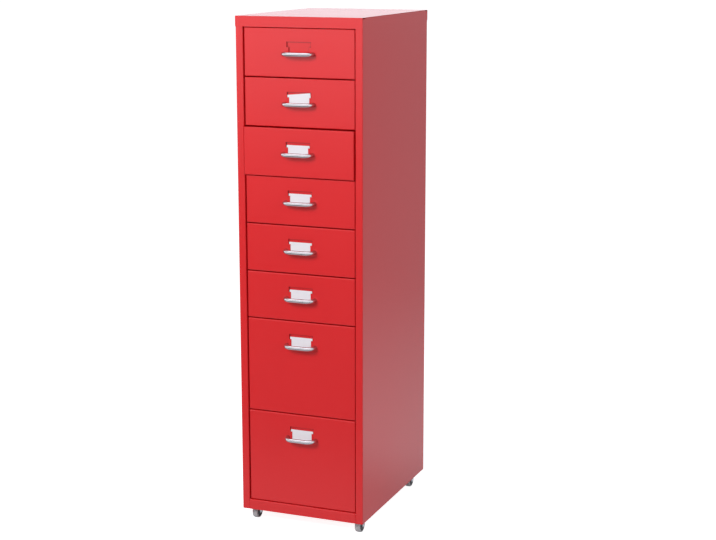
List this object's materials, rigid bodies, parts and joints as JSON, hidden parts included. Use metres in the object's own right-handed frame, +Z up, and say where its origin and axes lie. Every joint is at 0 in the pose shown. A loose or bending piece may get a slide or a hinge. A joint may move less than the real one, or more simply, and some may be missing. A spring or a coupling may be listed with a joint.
{
  "type": "metal drawer cabinet",
  "caption": "Tall narrow sheet-steel drawer cabinet on swivel castors, with shallow drawers over deep ones, bow handles of chromed rod and card holders.",
  "frame": {"origin": "centre of the assembly's box on the floor, with the third drawer ajar as pictured", "axes": "+Z up; the drawers open towards -Y; +X to the right of someone facing the drawers"},
  "size_m": [0.28, 0.419, 1.09],
  "materials": {
    "red_paint": "semi-gloss powder coat",
    "zinc_plated_steel": "bright zinc plate",
    "chrome": "polished chrome plate",
    "label_card": "white label card",
    "castor_wheel_grey": "grey moulded plastic"
  },
  "bodies": {
    "cabinet": {"left_side_panel": "red_paint", "right_side_panel": "red_paint", "back_panel": "red_paint", "top_panel": "red_paint", "bottom_panel": "red_paint", "left_runners": "red_paint", "right_runners": "red_paint", "body_screws": "zinc_plated_steel", "castor_plates": "zinc_plated_steel"},
    "drawer_1": {"drawer_1_tray": "red_paint", "drawer_1_front": "red_paint", "drawer_1_handle": "chrome", "drawer_1_handle_screws": "zinc_plated_steel"},
    "drawer_2": {"drawer_2_tray": "red_paint", "drawer_2_front": "red_paint", "drawer_2_handle": "chrome", "drawer_2_handle_screws": "zinc_plated_steel", "drawer_2_label": "label_card"},
    "drawer_3": {"drawer_3_tray": "red_paint", "drawer_3_front": "red_paint", "drawer_3_handle": "chrome", "drawer_3_handle_screws": "zinc_plated_steel", "drawer_3_label": "label_card"},
    "drawer_4": {"drawer_4_tray": "red_paint", "drawer_4_front": "red_paint", "drawer_4_handle": "chrome", "drawer_4_handle_screws": "zinc_plated_steel", "drawer_4_label": "label_card"},
    "drawer_5": {"drawer_5_tray": "red_paint", "drawer_5_front": "red_paint", "drawer_5_handle": "chrome", "drawer_5_handle_screws": "zinc_plated_steel", "drawer_5_label": "label_card"},
    "drawer_6": {"drawer_6_tray": "red_paint", "drawer_6_front": "red_paint", "drawer_6_handle": "chrome", "drawer_6_handle_screws": "zinc_plated_steel", "drawer_6_label": "label_card"},
    "drawer_7": {"drawer_7_tray": "red_paint", "drawer_7_front": "red_paint", "drawer_7_handle": "chrome", "drawer_7_handle_screws": "zinc_plated_steel", "drawer_7_label": "label_card"},
    "drawer_8": {"drawer_8_tray": "red_paint", "drawer_8_front": "red_paint", "drawer_8_handle": "chrome", "drawer_8_handle_screws": "zinc_plated_steel", "drawer_8_label": "label_card"},
    "front_left_castor": {"front_left_castor_fork": "zinc_plated_steel", "front_left_castor_axle": "zinc_plated_steel"},
    "front_left_wheel": {"front_left_castor_wheel": "castor_wheel_grey"},
    "front_right_castor": {"front_right_castor_fork": "zinc_plated_steel", "front_right_castor_axle": "zinc_plated_steel"},
    "front_right_wheel": {"front_right_castor_wheel": "castor_wheel_grey"},
    "rear_left_castor": {"rear_left_castor_fork": "zinc_plated_steel", "rear_left_castor_axle": "zinc_plated_steel"},
    "rear_left_wheel": {"rear_left_castor_wheel": "castor_wheel_grey"},
    "rear_right_castor": {"rear_right_castor_fork": "zinc_plated_steel", "rear_right_castor_axle": "zinc_plated_steel"},
    "rear_right_wheel": {"rear_right_castor_wheel": "castor_wheel_grey"}
  },
  "joints": [
    {"name": "drawer_1_slide", "type": "slide", "parent": "cabinet", "child": "drawer_1", "axis": [0, -1, 0], "range_m": [0, 0.272]},
    {"name": "drawer_2_slide", "type": "slide", "parent": "cabinet", "child": "drawer_2", "axis": [0, -1, 0], "range_m": [0, 0.272]},
    {"name": "drawer_3_slide", "type": "slide", "parent": "cabinet", "child": "drawer_3", "axis": [0, -1, 0], "range_m": [-0.008, 0.264]},
    {"name": "drawer_4_slide", "type": "slide", "parent": "cabinet", "child": "drawer_4", "axis": [0, -1, 0], "range_m": [0, 0.272]},
    {"name": "drawer_5_slide", "type": "slide", "parent": "cabinet", "child": "drawer_5", "axis": [0, -1, 0], "range_m": [0, 0.272]},
    {"name": "drawer_6_slide", "type": "slide", "parent": "cabinet", "child": "drawer_6", "axis": [0, -1, 0], "range_m": [0, 0.272]},
    {"name": "drawer_7_slide", "type": "slide", "parent": "cabinet", "child": "drawer_7", "axis": [0, -1, 0], "range_m": [0, 0.272]},
    {"name": "drawer_8_slide", "type": "slide", "parent": "cabinet", "child": "drawer_8", "axis": [0, -1, 0], "range_m": [0, 0.272]},
    {"name": "front_left_castor_swivel", "type": "hinge", "parent": "cabinet", "child": "front_left_castor", "pos_m": [-0.1205, -0.1415, 0.046], "axis": [0, 0, 1], "continuous": true},
    {"name": "front_left_wheel_spin", "type": "hinge", "parent": "front_left_castor", "child": "front_left_wheel", "pos_m": [-0.1205, -0.1475, 0.016], "axis": [1, 0, 0], "continuous": true},
    {"name": "front_right_castor_swivel", "type": "hinge", "parent": "cabinet", "child": "front_right_castor", "pos_m": [0.1205, -0.1415, 0.046], "axis": [0, 0, 1], "continuous": true},
    {"name": "front_right_wheel_spin", "type": "hinge", "parent": "front_right_castor", "child": "front_right_wheel", "pos_m": [0.1205, -0.1475, 0.016], "axis": [1, 0, 0], "continuous": true},
    {"name": "rear_left_castor_swivel", "type": "hinge", "parent": "cabinet", "child": "rear_left_castor", "pos_m": [-0.1205, 0.1685, 0.046], "axis": [0, 0, 1], "continuous": true},
    {"name": "rear_left_wheel_spin", "type": "hinge", "parent": "rear_left_castor", "child": "rear_left_wheel", "pos_m": [-0.1205, 0.1625, 0.016], "axis": [1, 0, 0], "continuous": true},
    {"name": "rear_right_castor_swivel", "type": "hinge", "parent": "cabinet", "child": "rear_right_castor", "pos_m": [0.1205, 0.1685, 0.046], "axis": [0, 0, 1], "continuous": true},
    {"name": "rear_right_wheel_spin", "type": "hinge", "parent": "rear_right_castor", "child": "rear_right_wheel", "pos_m": [0.1205, 0.1625, 0.016], "axis": [1, 0, 0], "continuous": true}
  ]
}
